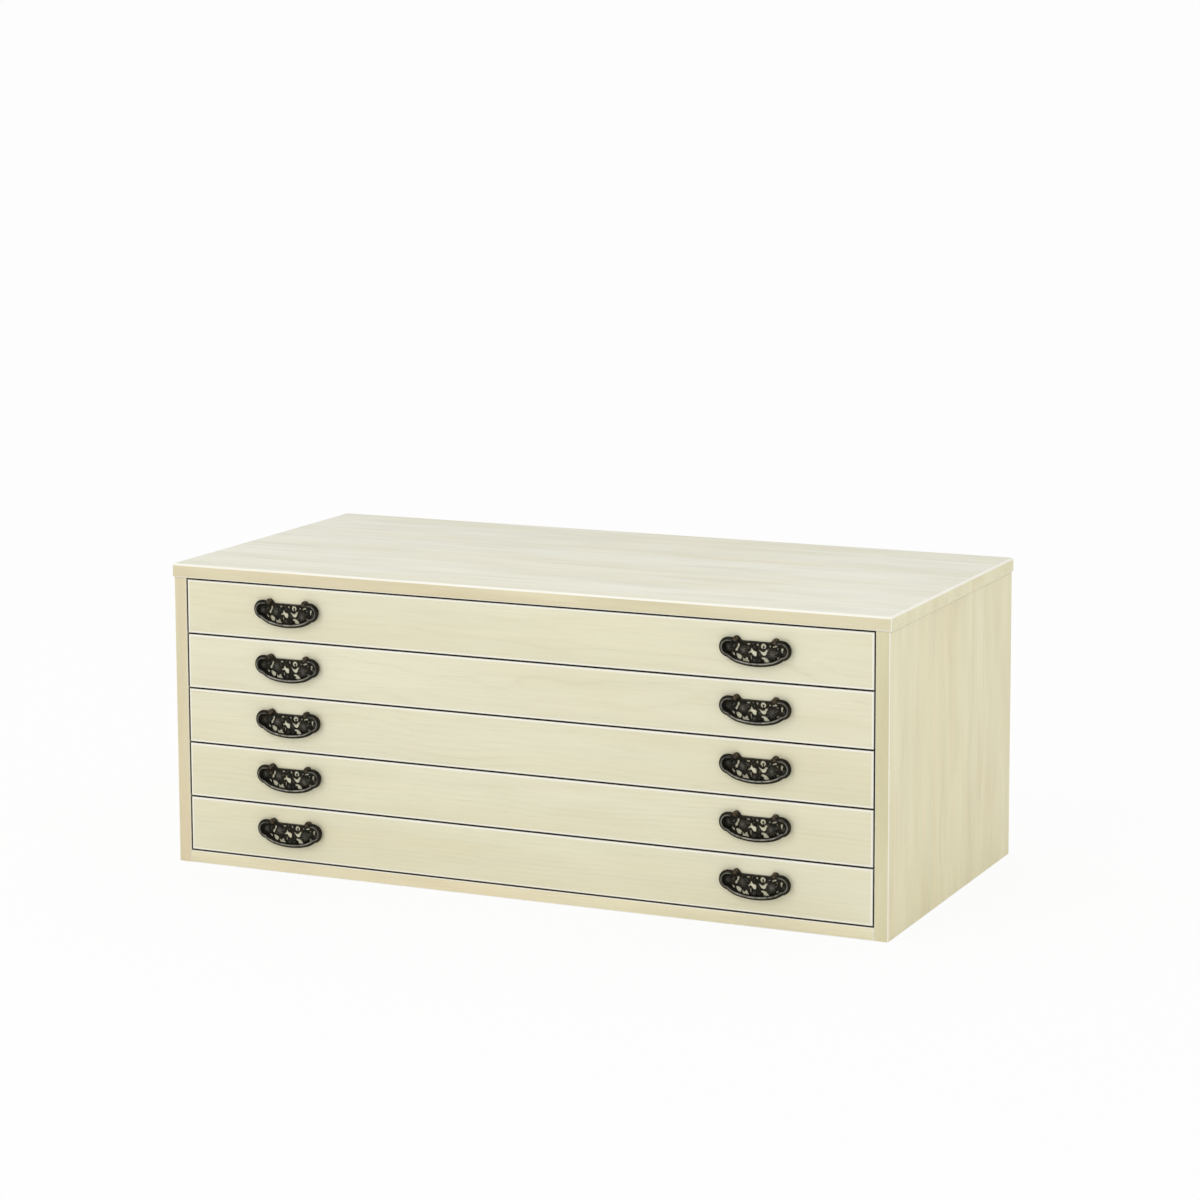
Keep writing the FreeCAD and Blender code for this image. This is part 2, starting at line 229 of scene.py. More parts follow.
paulownia = {
    # a pale, a warm and a cool tint for each kind of surface
    "tints": {
        "front": ((0.835, 0.808, 0.620), (0.800, 0.750, 0.540), (0.780, 0.770, 0.590)),
        # painted sheen: the top's tints are paler and cooler than the fronts', for the light glancing off
        # it
        "top": ((0.880, 0.880, 0.785), (0.850, 0.822, 0.680), (0.800, 0.830, 0.740)),
        # painted light: the side's tints are paler than the fronts', to make up for the lesser light on
        # the sides
        "side": ((0.890, 0.850, 0.620), (0.850, 0.780, 0.535), (0.825, 0.800, 0.575)),
        "trim": ((0.790, 0.730, 0.510), (0.770, 0.665, 0.455), (0.750, 0.695, 0.480)),
        # painted shade: a darker copy of the trim's tints for the right side panel's front edge, which
        # gets less light
        "shadedRightTrim": ((0.745, 0.705, 0.470), (0.725, 0.645, 0.420), (0.710, 0.670, 0.445)),
        "rail": ((0.865, 0.815, 0.585), (0.845, 0.745, 0.525), (0.830, 0.780, 0.555)),
        "inside": ((0.760, 0.710, 0.540), (0.730, 0.660, 0.480), (0.720, 0.690, 0.530)),
        # painted highlight: near-white tints for eased edges and for a band along drawer fronts' edges,
        # where light catches the arrises
        "frontEdgeHighlight": ((0.975, 0.958, 0.865), (0.970, 0.945, 0.845), (0.965, 0.950, 0.860)),
        "frameEdgeHighlight": ((0.975, 0.958, 0.865), (0.970, 0.945, 0.845), (0.965, 0.950, 0.860)),
    },
    # how strongly streaks, mottle and blush show there
    "shares": {
        "front": (0.50, 0.30, 0.12),
        "top": (0.50, 0.70, 0.10),
        "side": (0.80, 0.75, 0.34),
        "trim": (0.75, 0.80, 0.45),
        "shadedRightTrim": (0.75, 0.80, 0.30),
        "rail": (0.75, 0.80, 0.45),
        "inside": (0.60, 0.50, 0.20),
        "frontEdgeHighlight": (0.30, 0.20, 0.0),
        "frameEdgeHighlight": (0.30, 0.20, 0.0),
    },
    # the slow bends of the tree: their scale along the grain and across it, their place by the seed, and
    # their detail
    "bends": {
        "sway": (1.3, 5.0, 1.0, 2.0),
        "wave": (5.0, 9.0, 3.0, 1.0),
        "ripple": (9.0, 30.0, 2.0, 2.0),
    },
    "swayReach": 30 * mm,
    "waveReach": 20 * mm,
    "deepSwayReach": 20 * mm,
    "rippleYears": 0.55,
    # how far planks, their shares by chance and all figures slide from one seed to the next
    "seedSlides": (0.37, 7.0, 3.1),
    # planks come from logs with other figures and other piths
    "plankSlide": 9.0,
    "plankPith": (210 * mm, 50 * mm),
    # a year starts with open wood that fades, each year by its own strength, and ends in a thin dense line
    "earlyFade": 5.0,
    "earlyLeast": 0.35,
    "earlySpread": 0.75,
    "lateRise": 7.0,
    "lateShare": 0.45,
    # a figure's scale along the grain and across it, its place by the seed, its detail, and where it
    # starts and how steeply it comes in
    "figures": {
        "pores": (22.0, 1150.0, 5.0, 1.0, 0.58, 6.0),
        "drift": (1.6, 9.0, 11.0, 3.0, 0.38, 3.6),
        "streak": (3.4, 70.0, 17.0, 3.0, 0.42, 3.8),
        "blush": (3.0, 16.0, 23.0, 3.0, 0.52, 5.0),
        "mottle": (5.5, 34.0, 29.0, 4.0, 0.40, 3.4),
        "fade": (2.2, 26.0, 31.0, 2.0, 0.40, 4.0),
        "fine": (9.0, 330.0, 37.0, 2.0, 0.48, 4.0),
    },
    # the least share of pores between the rings, of blush between the streaks and of rings anywhere
    "poresLeast": 0.30,
    "blushLeast": 0.4,
    "ringsLeast": 0.25,
    "ringLine": (0.620, 0.545, 0.350),
    "poreLine": (0.520, 0.440, 0.290),
    "mottle": (0.900, 0.885, 0.850),
    "blush": (0.800, 0.620, 0.400),
    # painted shade: the near-black colour in deep gaps
    "paintedGapShade": (0.012, 0.010, 0.006),
    "ringStrength": 0.20,
    "poreStrength": 0.24,
    "fineStrength": 0.11,
    "plankStrength": 0.35,
    "roughness": 0.62,
    "earlyRoughness": 0.12,
    "poreRoughness": 0.20,
    "streakPolish": 0.06,
    "earlyDepth": 0.35,
    "poreDepth": 0.8,
    "specular": 0.35,
    "bumpStrength": 0.25,
    "bumpDepth": 0.3 * mm,
    # painted shade: deep gaps darken where little of the sky shows, and under the depth, a share of it,
    # they are darkest
    "gapSamples": 6,
    "gapReach": 3 * mm,
    "gapDepths": {"front": 0.55, "frontEdgeHighlight": 0.54, "frameEdgeHighlight": 0.28},
    "gapDepth": 0.42,
    "gapSlope": 2.6,
    # painted highlight: a pale band this wide along a drawer front's edges, where its arris catches the
    # light
    "highlightBorder": 2.0 * mm,
    "highlightBorderShare": 0.78,
    "borderFade": 1 * mm,
    # the painted shade in gaps stays off below this height
    "bareBelow": 4 * mm,
}


# How far into a box a point is from its sides in x and z: 0 within reach of them and 1 further in
def wellInside(axes, box, reach):
    shares = []
    for axis in (0, 2):
        shares.append(((axes[axis] - (box[0][axis] + reach)) / paulownia["borderFade"]).clamped())
        shares.append((((box[1][axis] - reach) - axes[axis]) / paulownia["borderFade"]).clamped())
    return shares[0] * shares[1] * shares[2] * shares[3]


# The grain runs along axis number grain. The pith's place is given on the other two axes, and ring is a
# year's growth. A board glued up from planks has their width in plank, and a drawer front its box in board
def paulowniaMaterial(name, surface, grain, pith, ring, seed, plank=0.0, board=None):
    wood = paulownia
    pale, warm, cool = [opaque(colour) for colour in wood["tints"][surface]]
    streakShare, mottleShare, blushShare = wood["shares"][surface]
    material, shader, wire = startMaterial(name)
    axes = wire.node("ShaderNodeTexCoord", None, None, "Object").parts()
    along = axes[grain]
    across, deep = [axes[i] for i in range(3) if i != grain]
    plankSeed, shareSeed, figureSeed = [seed * slide for slide in wood["seedSlides"]]
    if plank:
        shift = ((across / plank + plankSeed).floored() + shareSeed).chance()

    def drawnOut(alongScale, acrossScale, offset, bend=0.0):
        acrossPlace = (across + bend) * acrossScale + figureSeed
        if plank:
            acrossPlace = acrossPlace + shift * wood["plankSlide"]
        parts = {0: along * alongScale + offset, 1: acrossPlace, 2: deep * acrossScale + offset}
        return wire.node("ShaderNodeCombineXYZ", None, parts)

    def slowBend(kind):
        alongScale, acrossScale, offset, detail = wood["bends"][kind]
        return drawnOut(alongScale, acrossScale, seed * offset).noise(detail=detail) - 0.5

    # the bends carry every figure in the wood along with them
    sway = slowBend("sway")
    bend = sway * wood["swayReach"] + slowBend("wave") * wood["waveReach"]

    def figure(kind):
        alongScale, acrossScale, offset, detail, start, slope = wood["figures"][kind]
        noise = drawnOut(alongScale, acrossScale, seed * offset, bend).noise(detail=detail)
        return ((noise - start) * slope).clamped()

    # rings are circles about the pith, one a year
    acrossPith = across - pith[0] + bend
    deepPith = deep - pith[1] + sway * wood["deepSwayReach"]
    if plank:
        acrossPith = acrossPith + shift * wood["plankPith"][0]
        deepPith = deepPith + shift * wood["plankPith"][1]
    radius = (acrossPith * acrossPith + deepPith * deepPith) ** 0.5
    years = radius / ring + slowBend("ripple") * wood["rippleYears"]
    growth = years.fraction()
    strength = wood["earlyLeast"] + (years.floored() + seed).chance() * wood["earlySpread"]
    early = (1.0 - growth) ** wood["earlyFade"] * strength
    late = growth ** wood["lateRise"] * wood["lateShare"]

    # tints under the rings and pores
    streak = figure("streak")
    colour = figure("drift").mixColour(pale, warm)
    colour = (streak * streakShare).mixColour(colour, cool)
    if plank:
        colour = (shift * wood["plankStrength"]).mixColour(colour, warm)
    blush = figure("blush") * (wood["blushLeast"] + streak * (1 - wood["blushLeast"]))
    colour = (blush * blushShare).mixColour(colour, opaque(wood["blush"]))
    colour = (figure("mottle") * mottleShare).mixColour(colour, opaque(wood["mottle"]), "MULTIPLY")
    colour = (figure("fine") * wood["fineStrength"]).mixColour(colour, opaque(wood["ringLine"]))
    # rings fade in and out along the board
    rings = (early + late) * (wood["ringsLeast"] + figure("fade"))
    colour = (rings * wood["ringStrength"]).clamped().mixColour(colour, opaque(wood["ringLine"]))
    pores = figure("pores") * (wood["poresLeast"] + early)
    colour = (pores * wood["poreStrength"]).clamped().mixColour(colour, opaque(wood["poreLine"]))

    # painted shade: colour darkens in deep narrow gaps where little sky shows, but not along the line on
    # the floor or on the wood behind a pull
    sky = wire.node("ShaderNodeAmbientOcclusion", {"samples": wood["gapSamples"]},
                    {"Distance": wood["gapReach"]}, "AO")
    sky = sky + ((wood["bareBelow"] - axes[2]) / wood["borderFade"]).clamped()
    if board:
        sky = sky + wellInside(axes, board, wood["gapReach"])
        # painted highlight: a pale band along the drawer front's edges
        highlightBand = 1.0 - wellInside(axes, board, wood["highlightBorder"])
        colour = (highlightBand * wood["highlightBorderShare"]).mixColour(colour, opaque(wood["tints"]["frontEdgeHighlight"][0]))
    depth = wood["gapDepths"].get(surface, wood["gapDepth"])
    colour = ((sky - depth) * wood["gapSlope"]).clamped().mixColour(opaque(wood["paintedGapShade"]), colour)

    roughness = wood["roughness"] + early * wood["earlyRoughness"] + pores * wood["poreRoughness"]
    height = 1.0 - early * wood["earlyDepth"] - pores * wood["poreDepth"]
    plug(shader, "Base Color", colour)
    plug(shader, "Roughness", roughness - streak * wood["streakPolish"])
    plug(shader, "Normal", height.bump(wood["bumpStrength"], wood["bumpDepth"]))
    shader.inputs["Specular IOR Level"].default_value = wood["specular"]
    return material


# Blackened iron: dark wax over a cast skin, brown in patches, and pale from rubbing on what stands proud,
# which also paints a highlight there

iron = {
    "black": (0.014, 0.015, 0.009),
    "brown": (0.095, 0.058, 0.032),
    # pale iron from rubbing, which also stands as the painted highlight, and a brown kind for the posts
    "rubbedHighlight": (0.640, 0.625, 0.540),
    "brownRubbedHighlight": (0.170, 0.130, 0.086),
    # a figure's scale, its detail and how steeply it comes in
    "patches": (190.0, 4.0, 4.0),
    # noise that breaks up the pale rubbing and painted highlight
    "rubHighlightPatches": (160.0, 3.0, 2.6),
    "rubHighlightPatchesFrom": 0.22,
    "skinScale": 1400.0,
    # relief is pale from rubbing, with a painted highlight, from this far in front of the drawer's face
    "plateRubHighlightFrom": 2.1 * mm,
    "pinRubHighlightFrom": 3.0 * mm,
    "rubHighlightDepth": 1.1 * mm,
    "metallic": 0.85,
    "roughness": 0.42,
    "skinRoughness": 0.22,
    "rubbedPolish": 0.10,
    "bumpStrength": 0.35,
    "bumpDepth": 0.12 * mm,
    "waxWeight": 0.1,
    "waxRoughness": 0.25,
}


# Patches are brown where their noise is over brownFrom. The metal is pale from rubbing, with a painted
# highlight, in front of the given depth or, if that isn't given, as the mesh's own attribute says
def ironMaterial(name, brownFrom, brownShare, rubHighlightShare, rubHighlightFrom=None, rubbedHighlight="rubbedHighlight"):
    material, shader, wire = startMaterial(name)
    place = wire.node("ShaderNodeTexCoord", None, None, "Object")

    def figure(kind, start):
        scale, detail, slope = iron[kind]
        return ((place.noise(scale, detail) - start) * slope).clamped()

    if rubHighlightFrom is None:
        proud = wire.node("ShaderNodeAttribute", {"attribute_name": "rubHighlightAmount"}, None, "Fac")
    else:
        proud = ((rubHighlightFrom - place.parts()[1]) / iron["rubHighlightDepth"]).clamped()
    # pale rubbing with a painted highlight on what stands proud
    rubHighlightMask = proud * figure("rubHighlightPatches", iron["rubHighlightPatchesFrom"])
    skin = place.noise(iron["skinScale"])
    patches = figure("patches", brownFrom)
    colour = (patches * brownShare).mixColour(opaque(iron["black"]), opaque(iron["brown"]))
    colour = (rubHighlightMask * rubHighlightShare).clamped().mixColour(colour, opaque(iron[rubbedHighlight]))
    roughness = iron["roughness"] + skin * iron["skinRoughness"]
    plug(shader, "Base Color", colour)
    plug(shader, "Roughness", roughness - rubHighlightMask * iron["rubbedPolish"])
    plug(shader, "Normal", skin.bump(iron["bumpStrength"], iron["bumpDepth"]))
    shader.inputs["Metallic"].default_value = iron["metallic"]
    shader.inputs["Coat Weight"].default_value = iron["waxWeight"]
    shader.inputs["Coat Roughness"].default_value = iron["waxRoughness"]
    return material


print("stage: materials")
# Each wood's surface, its grain's axis, its pith's place on the other two axes and a year's growth in
# millimetres, its seed, and the width of its planks in millimetres where it is glued up
logs = {
    "top": ("top", 0, (50, 100), 6.2, 1.0, 112),
    "topEnd": ("side", 0, (50, 100), 6.2, 1.0, 112),
    "leftSide": ("side", 2, (-750, 100), 4.8, 2.0, 118),
    "rightSide": ("side", 2, (280, 50), 4.8, 3.0, 118),
    "back": ("inside", 0, (500, 220), 7.0, 4.0, 128),
    "trim": ("trim", 0, (-300, -100), 4.0, 5.0, 0),
    "rail": ("rail", 0, (-250, -100), 4.0, 5.5, 0),
    "uprightTrim": ("trim", 2, (-300, -100), 4.0, 9.0, 0),
    "shadedRightTrim": ("shadedRightTrim", 2, (-300, -100), 4.0, 9.5, 0),
    "inner": ("inside", 0, (100, -300), 6.0, 6.0, 0),
    "innerSide": ("inside", 1, (100, -300), 6.0, 7.0, 0),
    "frontEdgeHighlight": ("frontEdgeHighlight", 0, (400, 500), 6.0, 8.0, 0),
    "frameEdgeHighlight": ("frameEdgeHighlight", 0, (400, 500), 6.0, 8.0, 0),
}
woods = {}
for kind, (surface, grain, pith, ring, seed, plank) in logs.items():
    pithPlace = (pith[0] * mm, pith[1] * mm)
    woods[kind] = paulowniaMaterial(f"{kind}Wood", surface, grain, pithPlace, ring * mm, seed, plank * mm)
# Drawer fronts are cut from one log, each further from the pith
for level in levels:
    pithPlace = ((-550 - 70 * level) * mm, (100 + 130 * level) * mm)
    woods[f"front{level}"] = paulowniaMaterial(f"frontWood{level}", "front", 0, pithPlace, 4.4 * mm,
                                               10.0 + level, board=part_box(f"drawer_front_{level}"))
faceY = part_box("drawer_front_1")[0][1]
irons = {
    "plate": ironMaterial("plateIron", 0.41, 0.28, 0.30, faceY - iron["plateRubHighlightFrom"]),
    "bail": ironMaterial("bailIron", 0.40, 0.25, 0.88),
    "pin": ironMaterial("pinIron", 0.39, 0.80, 0.60, faceY - iron["pinRubHighlightFrom"], "brownRubbedHighlight"),
}


# Boards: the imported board, merged into clean faces, with every sharp edge eased

easing = {
    "outside": 0.9 * mm,
    "front": 1.4 * mm,
    "inside": 0.3 * mm,
    "segments": 4,
    "sharp": math.radians(28),
    "mergeWithin": 0.001 * mm,
    "flatWithin": math.radians(0.5),
    "squareAbove": 0.999,
    "smoothBelow": math.radians(50),
}


# The material's slot of a board's face: 0 its own wood, 1 the eased edge, pale as a painted highlight, 2
# the front, 3 the ends
def boardSlot(normal):
    if max(abs(value) for value in normal) <= easing["squareAbove"]:
        return 1
    if normal.y < -facing:
        return 2
    return 3 if abs(normal.x) > facing else 0


# Trim is the wood of what looks out of the front, end that of the ends, and edge that of the eased edges,
# which is pale as a painted highlight
def easedBoard(node, name, wood, radius, trim=None, end=None, edge="frameEdgeHighlight"):
    piece = copyPiece(frame["nodes"][node], name)
    makeActive(piece)
    bpy.ops.object.mode_set(mode="EDIT")
    bpy.ops.mesh.select_all(action="SELECT")
    bpy.ops.mesh.remove_doubles(threshold=easing["mergeWithin"])
    bpy.ops.mesh.dissolve_limited(angle_limit=easing["flatWithin"])
    bpy.ops.object.mode_set(mode="OBJECT")
    applyModifier(piece, "BEVEL", width=radius, segments=easing["segments"], limit_method="ANGLE",
                  angle_limit=easing["sharp"], use_clamp_overlap=True)
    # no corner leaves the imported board's box
    low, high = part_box(node)
    for corner in piece.data.vertices:
        corner.co = [min(max(value, low[i]), high[i]) for i, value in enumerate(corner.co)]
    dress(piece, woods[wood], woods[edge], woods[trim or wood], woods[end or wood])
    for face in piece.data.polygons:
        face.material_index = boardSlot(face.normal)
    bpy.ops.object.shade_smooth_by_angle(angle=easing["smoothBelow"])
    standFor(piece, node, bodyOf[node])


print("stage: boards")
easedBoard("top_board", "topBoard", "top", easing["outside"], "trim", "topEnd")
easedBoard("left_side_panel", "leftSidePanel", "leftSide", easing["outside"], "uprightTrim")
easedBoard("right_side_panel", "rightSidePanel", "rightSide", easing["outside"], "shadedRightTrim")
easedBoard("back_panel", "backPanel", "back", easing["inside"])
easedBoard("bottom_front_rail", "bottomFrontRail", "rail", easing["outside"])
for level in levels:
    easedBoard(f"drawer_front_{level}", f"drawerFront{level}", f"front{level}", easing["front"],
               edge="frontEdgeHighlight")

# Nodes that are shown as they are packed
plainWood = {"bottom_rear_rail": "inner", "bottom_board": "inner"}
for level in levels:
    plainWood[f"runner_pair_{level}"] = "innerSide"
    plainWood[f"drawer_left_side_{level}"] = "innerSide"
    plainWood[f"drawer_right_side_{level}"] = "innerSide"
    plainWood[f"drawer_rear_{level}"] = "inner"
    plainWood[f"drawer_floor_{level}"] = "inner"
for node, wood in plainWood.items():
    dress(frame["nodes"][node], woods[wood])


# Pull: sizes in metres about its own middle, with x across, z up and the drawer's face at y = 0

pull = {
    "halfWidth": 47.5 * mm,
    "lobeRadius": 12.7 * mm,
    "lobeHeight": 6.5 * mm,
    "gripDrop": 15.8 * mm,
    "gripRise": 2.6 * mm,
    "gripEnd": 22.18 * mm,
    "notchAngle": -80.0,
    "postX": 26.0 * mm,
    "axisHeight": 16.45 * mm,
    "axisDepth": 7.25 * mm,
    "gripSteps": 10,
    "shoulderSteps": 10,
    "lobeSteps": 26,
}


def onCircle(centre, radius, degrees):
    angle = math.radians(degrees)
    return centre + Vector((math.cos(angle), math.sin(angle))) * radius


def arc(centre, radius, start, end, steps):
    return [onCircle(centre, radius, start + (end - start) * i / steps) for i in range(steps + 1)]


# The radius of an arc from start to end whose centre lies straight inwards from start
def arcRadius(start, inwards, end):
    chord = end - start
    return chord.dot(chord) / (2 * chord.dot(inwards))


def bearing(centre, point):
    return math.degrees(math.atan2(point.y - centre.y, point.x - centre.x))


# The right half of the lobed outline, moved in by inset, from its foot to the lobe's top: the grip's arc
# runs on into the shoulder's, which meets the lobe's in a notch
def lobedHalf(inset):
    foot = Vector((0, -pull["gripDrop"]))
    gripEnd = foot + Vector((pull["gripEnd"], pull["gripRise"]))
    gripRadius = arcRadius(foot, Vector((0, 1)), gripEnd)
    gripCentre = foot + Vector((0, gripRadius))
    lobeCentre = Vector((pull["halfWidth"] - pull["lobeRadius"], pull["lobeHeight"]))
    notch = onCircle(lobeCentre, pull["lobeRadius"], pull["notchAngle"])
    inwards = (gripCentre - gripEnd).normalized()
    shoulderRadius = arcRadius(gripEnd, inwards, notch)
    shoulderCentre = gripEnd + inwards * shoulderRadius
    shoulder = shoulderRadius - inset
    lobe = pull["lobeRadius"] - inset
    apart = (lobeCentre - shoulderCentre).length
    along = (apart ** 2 + shoulder ** 2 - lobe ** 2) / (2 * apart)
    crossing = bearing(shoulderCentre, lobeCentre) - math.degrees(math.acos(along / shoulder))
    gripStop = bearing(gripCentre, gripEnd)
    points = arc(gripCentre, gripRadius - inset, -90, gripStop, pull["gripSteps"])
    points += arc(shoulderCentre, shoulder, gripStop, crossing, pull["shoulderSteps"])[1:]
    return points + arc(lobeCentre, lobe, bearing(lobeCentre, points[-1]), 90, pull["lobeSteps"])[1:]


# A whole outline from its right half, given from the middle of its foot
def bothHalves(half):
    return [Vector((-point.x, point.y)) for point in reversed(half)][:-1] + half


# Curves are drawn flat and turned up, so that a curve's height becomes the depth in front of the drawer
def curvePiece(name, splines, closed=True, smooth=False, radii=None, **settings):
    data = bpy.data.curves.new(name, "CURVE")
    for key, value in settings.items():
        setattr(data, key, value)
    for points in splines:
        spline = data.splines.new("BEZIER" if smooth else "POLY")
        knots = spline.bezier_points if smooth else spline.points
        knots.add(len(points) - 1)
        for index, (knot, point) in enumerate(zip(knots, points)):
            if smooth:
                knot.co = (point[0], point[1], 0)
                knot.handle_left_type = knot.handle_right_type = "AUTO"
            else:
                knot.co = (point[0], point[1], 0, 1)
            knot.radius = radii[index] if radii else 1.0
        spline.use_cyclic_u = closed
    piece = bpy.data.objects.new(name, data)
    bpy.context.scene.collection.objects.link(piece)
    makeActive(piece)
    bpy.ops.object.convert(target="MESH")
    return bpy.context.view_layer.objects.active


def standUp(piece, depth=0.0):
    piece.data.transform(Matrix.Translation((0, -depth, 0)) @ Matrix.Rotation(math.radians(90), 4, "X"))
    return piece


plate = {
    "margin": 2.6 * mm,
    "thickness": 1.6 * mm,
    "rise": 15.0 * mm,
    "rimRadius": 0.9 * mm,
    "rimMiddle": Vector((0, 0.2 * mm)),
    "vineRadius": 0.75 * mm,
    "vineThickness": 1.15,
    "vineTaper": 0.5,
    "leafRise": 1.0 * mm,
    "heartShare": 0.24,
    "heartRise": 1.75 * mm,
    "petalTurn": 18,
    # where the scrollwork lies on the plate
    "shift": Vector((-1.5 * mm, -1.5 * mm, 0)),
    "openingGrowth": 1.08,
    "voxel": 0.30 * mm,
    "smoothings": 2,
    "keptShare": 0.16,
    "smoothBelow": math.radians(60),
}
# The right half of the plate's top edge, from the lobe over the post's ear to the middle, in millimetres
plateTop = [(40.2, 15.0), (31.4, 15.0), (30.5, 17.2), (29.0, 19.4), (27.2, 20.6), (25.4, 20.6),
            (23.6, 19.4), (22.0, 17.4), (20.4, 15.7), (18.4, 15.0)]
# Openings of the scrollwork, in millimetres about the pull's middle
openings = [
    [(-22.2, 12.2), (-20.7, 11.2), (-22.6, 6.3), (-24.0, 3.4), (-25.9, 3.2), (-26.3, 5.1), (-24.4, 7.4)],
    [(-30.4, 0.9), (-28.4, 0.6), (-26.9, -1.2), (-27.2, -2.9), (-29.3, -1.8)],
    [(-24.6, -0.6), (-22.2, -0.1), (-19.6, -1.4), (-17.9, -3.2), (-18.3, -5.4), (-19.6, -6.9),
     (-22.0, -6.5), (-24.2, -4.4)],
    [(-15.9, -4.0), (-15.0, -5.5), (-13.4, -5.6), (-12.0, -3.8), (-10.4, -4.2), (-9.6, -6.6), (-8.2, -8.6),
     (-12.6, -8.9), (-16.2, -8.4), (-16.9, -6.2)],
    [(-4.8, 7.8), (-3.0, 5.0), (1.0, 3.5), (1.3, 1.0), (0.5, -1.7), (-3.3, -0.9), (-4.4, 0.9), (-6.3, 2.0),
     (-8.9, 1.1), (-6.3, 4.6)],
    [(-5.6, -0.9), (-6.6, -2.8), (-6.3, -5.0), (-4.6, -6.9), (-4.9, -4.5)],
    [(-11.2, 12.6), (-9.0, 13.4), (-6.9, 13.3), (-8.6, 11.7)],
    [(-12.6, 9.8), (-11.3, 10.4), (-10.8, 9.3), (-12.0, 8.9)],
    [(-3.9, 13.2), (-2.9, 13.9), (-2.1, 13.1), (-3.0, 12.5)],
    [(1.3, 12.4), (2.7, 13.8), (4.0, 12.4), (2.6, 10.9)],
    [(10.1, 7.9), (7.6, 8.9), (7.0, 11.2), (8.4, 13.5), (10.6, 14.2), (12.9, 13.4), (13.9, 11.2),
     (13.2, 9.0), (11.2, 7.9), (11.0, 9.6), (11.6, 10.5), (11.0, 11.4), (9.9, 11.3), (9.5, 10.4),
     (10.1, 9.6)],
    [(5.0, 5.6), (7.4, 5.2), (10.0, 3.9), (12.0, 4.6), (13.2, 6.4), (14.8, 7.2), (16.3, 6.0), (15.0, 4.4),
     (14.4, 2.3), (12.8, 0.2), (10.7, -0.3), (8.2, 0.8), (6.5, 3.2)],
    [(8.0, -4.4), (8.7, -2.9), (11.6, -2.6), (14.6, -3.7), (16.8, -5.5), (18.2, -7.8), (16.0, -8.4),
     (12.6, -8.5), (10.9, -7.5), (11.0, -5.9)],
    [(18.0, 11.0), (19.2, 12.4), (20.4, 11.6), (19.2, 10.2)],
    [(22.4, 10.4), (24.6, 12.2), (28.2, 12.6), (27.6, 11.0), (25.0, 10.6)],
    [(28.0, 8.8), (29.2, 9.9), (30.2, 8.8), (29.1, 7.8)],
    [(34.2, 10.0), (35.9, 10.2), (36.2, 7.0), (34.8, 4.2), (33.6, 5.6)],
    [(27.9, -3.2), (29.0, -1.4), (31.2, -1.2), (30.6, -3.0)],
]
# Blossoms: middle, radius and outer petals, in millimetres
blossoms = [(-16.0, 5.6, 7.3, 9), (22.3, 1.6, 7.9, 9), (-35.4, 7.2, 6.4, 8), (38.4, 3.6, 5.0, 7),
            (-1.2, -7.0, 4.6, 7)]
# A blossom's rings: how many petals fewer than outside, their reach, length and breadth as shares of the
# blossom's radius, and their rise
petalRings = [(0, 0.66, 0.72, 0.46, 0.85 * mm), (2, 0.40, 0.52, 0.38, 1.20 * mm),
              (4, 0.20, 0.34, 0.30, 1.50 * mm)]
# Leaves: middle, length, breadth and turn, in millimetres and degrees
leaves = [(-28.0, 9.5, 8.0, 3.6, 66), (-21.5, -1.8, 7.0, 3.0, 140), (-9.0, 8.6, 7.5, 3.4, -38),
          (-1.0, 9.6, 5.0, 2.6, 80), (6.2, 0.6, 7.0, 2.8, -70), (17.0, 8.0, 7.0, 3.0, 58),
          (28.6, 5.0, 6.4, 3.2, 20), (5.5, -7.6, 6.0, 3.0, 8), (-7.2, -1.2, 5.0, 2.4, 62),
          (31.6, -1.0, 6.0, 3.0, 62), (16.0, -2.0, 5.0, 2.6, -30)]
# Vines: points from root to tip, in millimetres
vines = [
    [(-1.0, -10.5), (3.2, -4.5), (3.0, 2.5), (1.2, 8.0), (-2.5, 11.3)],
    [(-4.0, -10.0), (-7.6, -4.5), (-10.2, -0.5), (-10.5, 4.5), (-13.0, 9.5), (-18.5, 13.5)],
    [(-25.8, -6.8), (-26.0, -2.5), (-23.6, 1.2), (-19.4, 7.5), (-18.8, 13.8)],
    [(4.0, -10.0), (6.5, -4.0), (6.8, -0.5), (4.2, 3.0), (4.0, 8.0), (6.2, 13.0), (10.4, 15.0),
     (14.8, 12.4), (16.4, 9.0)],
    [(20.0, -9.6), (18.0, -3.5), (15.8, 0.5), (17.6, 6.0), (21.2, 8.8), (26.4, 9.0), (31.2, 10.8)],
    [(29.0, -6.0), (32.2, -1.0), (32.3, 5.5), (31.6, 12.0)],
    [(-32.4, -2.4), (-30.8, 2.5), (-28.4, 7.0), (-27.2, 13.0)],
]


def inMetres(points):
    return [Vector((x * mm, z * mm)) for x, z in points]


# A low mound on the plate: a ball that is flattened and turned
def mound(x, z, length, breadth, rise, turn):
    bpy.ops.mesh.primitive_uv_sphere_add(segments=20, ring_count=10, radius=1.0)
    piece = bpy.context.active_object
    bpy.ops.object.mode_set(mode="EDIT")
    bpy.ops.transform.resize(value=(length / 2, breadth / 2, rise), center_override=(0, 0, 0))
    bpy.ops.object.mode_set(mode="OBJECT")
    piece.data.transform(Matrix.Translation((x, z, 0)) @ Matrix.Rotation(math.radians(turn), 4, "Z"))
    return piece


def grown(points, share):
    middle = sum(points, Vector((0, 0))) / len(points)
    return [middle + (point - middle) * share for point in points]


def plateOutline():
    half = [point for point in lobedHalf(plate["margin"]) if point.y < plate["rise"]]
    top = inMetres(plateTop)
    return bothHalves(half) + top + [Vector((-point.x, point.y)) for point in reversed(top)]


